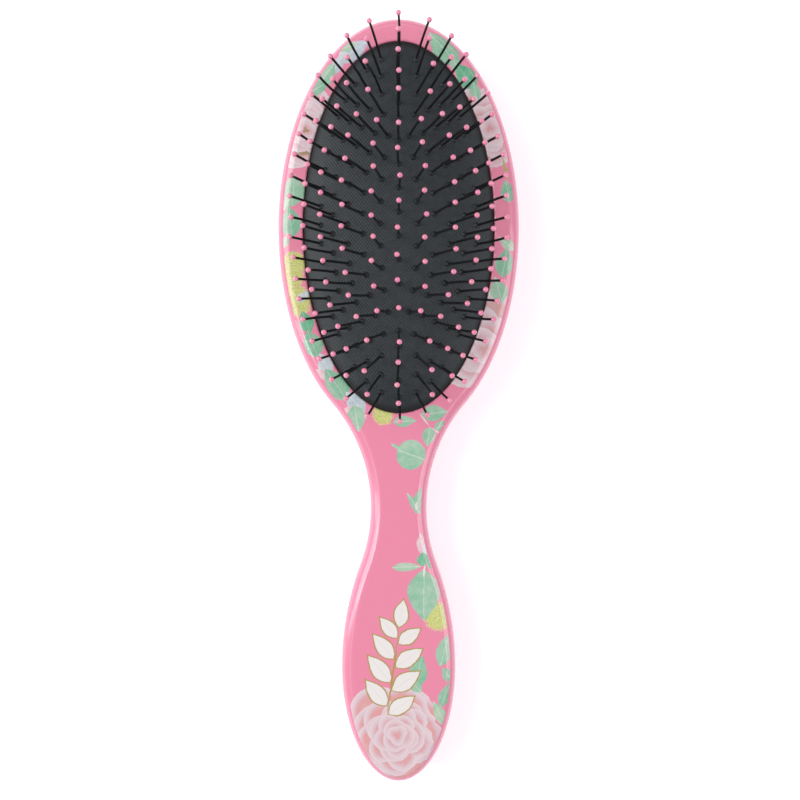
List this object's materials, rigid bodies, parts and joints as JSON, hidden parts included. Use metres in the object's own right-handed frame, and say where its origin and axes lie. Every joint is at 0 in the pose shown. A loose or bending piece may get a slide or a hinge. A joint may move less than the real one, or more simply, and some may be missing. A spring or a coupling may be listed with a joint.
{
  "type": "cushion hairbrush",
  "caption": "Oval-headed hairbrush: two-part plastic body with a slim grip, a sprung domed rubber cushion and ball-tipped nylon bristles in concentric rings.",
  "frame": {"origin": "on the rest plane under the middle of the brush's length, on its centre line", "axes": "+X across the brush, +Y towards the top of the head, +Z the way the bristles point; the brush lies on its back"},
  "size_m": [0.0716, 0.2262, 0.0391],
  "materials": {
    "shell_plastic": "high gloss pink moulding with a printed floral pattern under clear lacquer",
    "inner_plastic": "unpolished moulding",
    "cushion_rubber": "satin with a fine woven grain",
    "bristle_nylon": "smooth",
    "tip_plastic": "glossy"
  },
  "bodies": {
    "handle": {"front_shell": "shell_plastic", "back_shell": "shell_plastic", "cushion_ring": "inner_plastic", "cushion_tray": "inner_plastic", "cushion_pad": "cushion_rubber"},
    "centre_bristles": {"centre_bristles": "bristle_nylon", "centre_tips": "tip_plastic"},
    "ring_1_bristles": {"ring_1_left_bristles": "bristle_nylon", "ring_1_left_tips": "tip_plastic", "ring_1_right_bristles": "bristle_nylon", "ring_1_right_tips": "tip_plastic"},
    "ring_2_bristles": {"ring_2_left_bristles": "bristle_nylon", "ring_2_left_tips": "tip_plastic", "ring_2_right_bristles": "bristle_nylon", "ring_2_right_tips": "tip_plastic"},
    "ring_3_bristles": {"ring_3_left_bristles": "bristle_nylon", "ring_3_left_tips": "tip_plastic", "ring_3_right_bristles": "bristle_nylon", "ring_3_right_tips": "tip_plastic"},
    "ring_4_bristles": {"ring_4_left_bristles": "bristle_nylon", "ring_4_left_tips": "tip_plastic", "ring_4_right_bristles": "bristle_nylon", "ring_4_right_tips": "tip_plastic"},
    "ring_5_bristles": {"ring_5_left_bristles": "bristle_nylon", "ring_5_left_tips": "tip_plastic", "ring_5_right_bristles": "bristle_nylon", "ring_5_right_tips": "tip_plastic"}
  },
  "joints": [
    {"name": "cushion_press", "type": "slide", "parent": "handle", "child": "centre_bristles", "axis": [0, 0, -1], "range_m": [0, 0.004], "stiffness_N_per_m": 350, "deforming": ["cushion_pad"]},
    {"name": "ring_1_press", "type": "slide", "parent": "handle", "child": "ring_1_bristles", "axis": [0, 0, -1], "range_m": [0, 0.0015], "deforming": ["cushion_pad"]},
    {"name": "ring_2_press", "type": "slide", "parent": "handle", "child": "ring_2_bristles", "axis": [0, 0, -1], "range_m": [0, 0.00223], "deforming": ["cushion_pad"]},
    {"name": "ring_3_press", "type": "slide", "parent": "handle", "child": "ring_3_bristles", "axis": [0, 0, -1], "range_m": [0, 0.00283], "deforming": ["cushion_pad"]},
    {"name": "ring_4_press", "type": "slide", "parent": "handle", "child": "ring_4_bristles", "axis": [0, 0, -1], "range_m": [0, 0.00328], "deforming": ["cushion_pad"]},
    {"name": "ring_5_press", "type": "slide", "parent": "handle", "child": "ring_5_bristles", "axis": [0, 0, -1], "range_m": [0, 0.00359], "deforming": ["cushion_pad"]}
  ],
  "couplings": [
    {"joint": "ring_1_press", "follows": "cushion_press", "ratio": 0.35},
    {"joint": "ring_2_press", "follows": "cushion_press", "ratio": 0.533},
    {"joint": "ring_3_press", "follows": "cushion_press", "ratio": 0.683},
    {"joint": "ring_4_press", "follows": "cushion_press", "ratio": 0.795},
    {"joint": "ring_5_press", "follows": "cushion_press", "ratio": 0.872}
  ]
}
